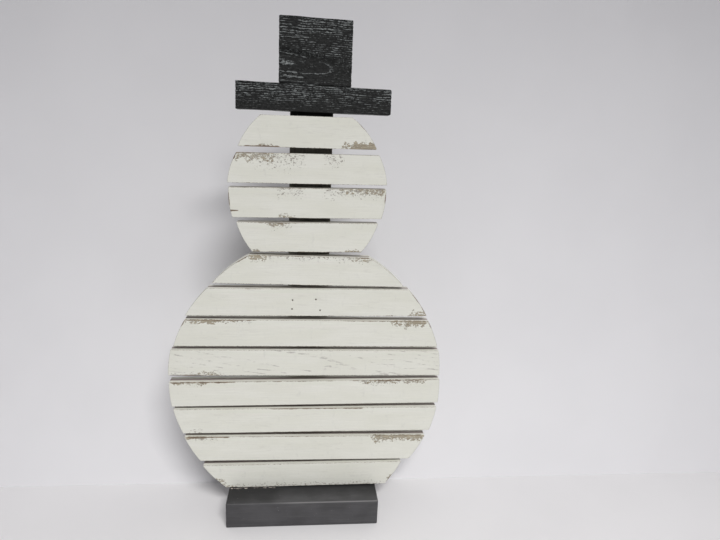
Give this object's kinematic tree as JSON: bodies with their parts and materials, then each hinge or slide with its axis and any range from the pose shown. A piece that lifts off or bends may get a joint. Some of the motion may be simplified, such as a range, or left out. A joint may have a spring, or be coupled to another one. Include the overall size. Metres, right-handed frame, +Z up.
{
  "type": "wooden snowman figure",
  "caption": "Free-standing flat snowman made of horizontal painted slats nailed across an upright board, with a two-piece top hat, on a solid rectangular base block.",
  "frame": {"origin": "on the table, midway across the body's round outline and midway through the base block's depth", "axes": "+Z up, -Y the painted front, +X to the viewer's right"},
  "size_m": [0.3798, 0.089, 0.6805],
  "materials": {
    "white_paint": "matte distressed off-white paint, bare wood showing at worn edges",
    "hat_paint": "black paint on rough-sawn wood, grey where its ridges are rubbed",
    "base_paint": "satin charcoal paint, smooth",
    "spine_paint": "matte black paint",
    "brad_steel": "dull steel, tarnished",
    "screw_steel": "zinc yellow plated"
  },
  "bodies": {
    "root": {"base_block": "base_paint", "spine_board": "spine_paint", "head_slat_1": "white_paint", "head_slat_2": "white_paint", "head_slat_3": "white_paint", "head_slat_4": "white_paint", "body_slat_1": "white_paint", "body_slat_2": "white_paint", "body_slat_3": "white_paint", "body_slat_4": "white_paint", "body_slat_5": "white_paint", "body_slat_6": "white_paint", "body_slat_7": "white_paint", "body_slat_8": "white_paint", "hat_brim": "hat_paint", "hat_crown": "hat_paint", "head_slat_brads": "brad_steel", "body_slat_brads": "brad_steel", "hat_brads": "brad_steel", "base_screws": "screw_steel"}
  },
  "joints": []
}
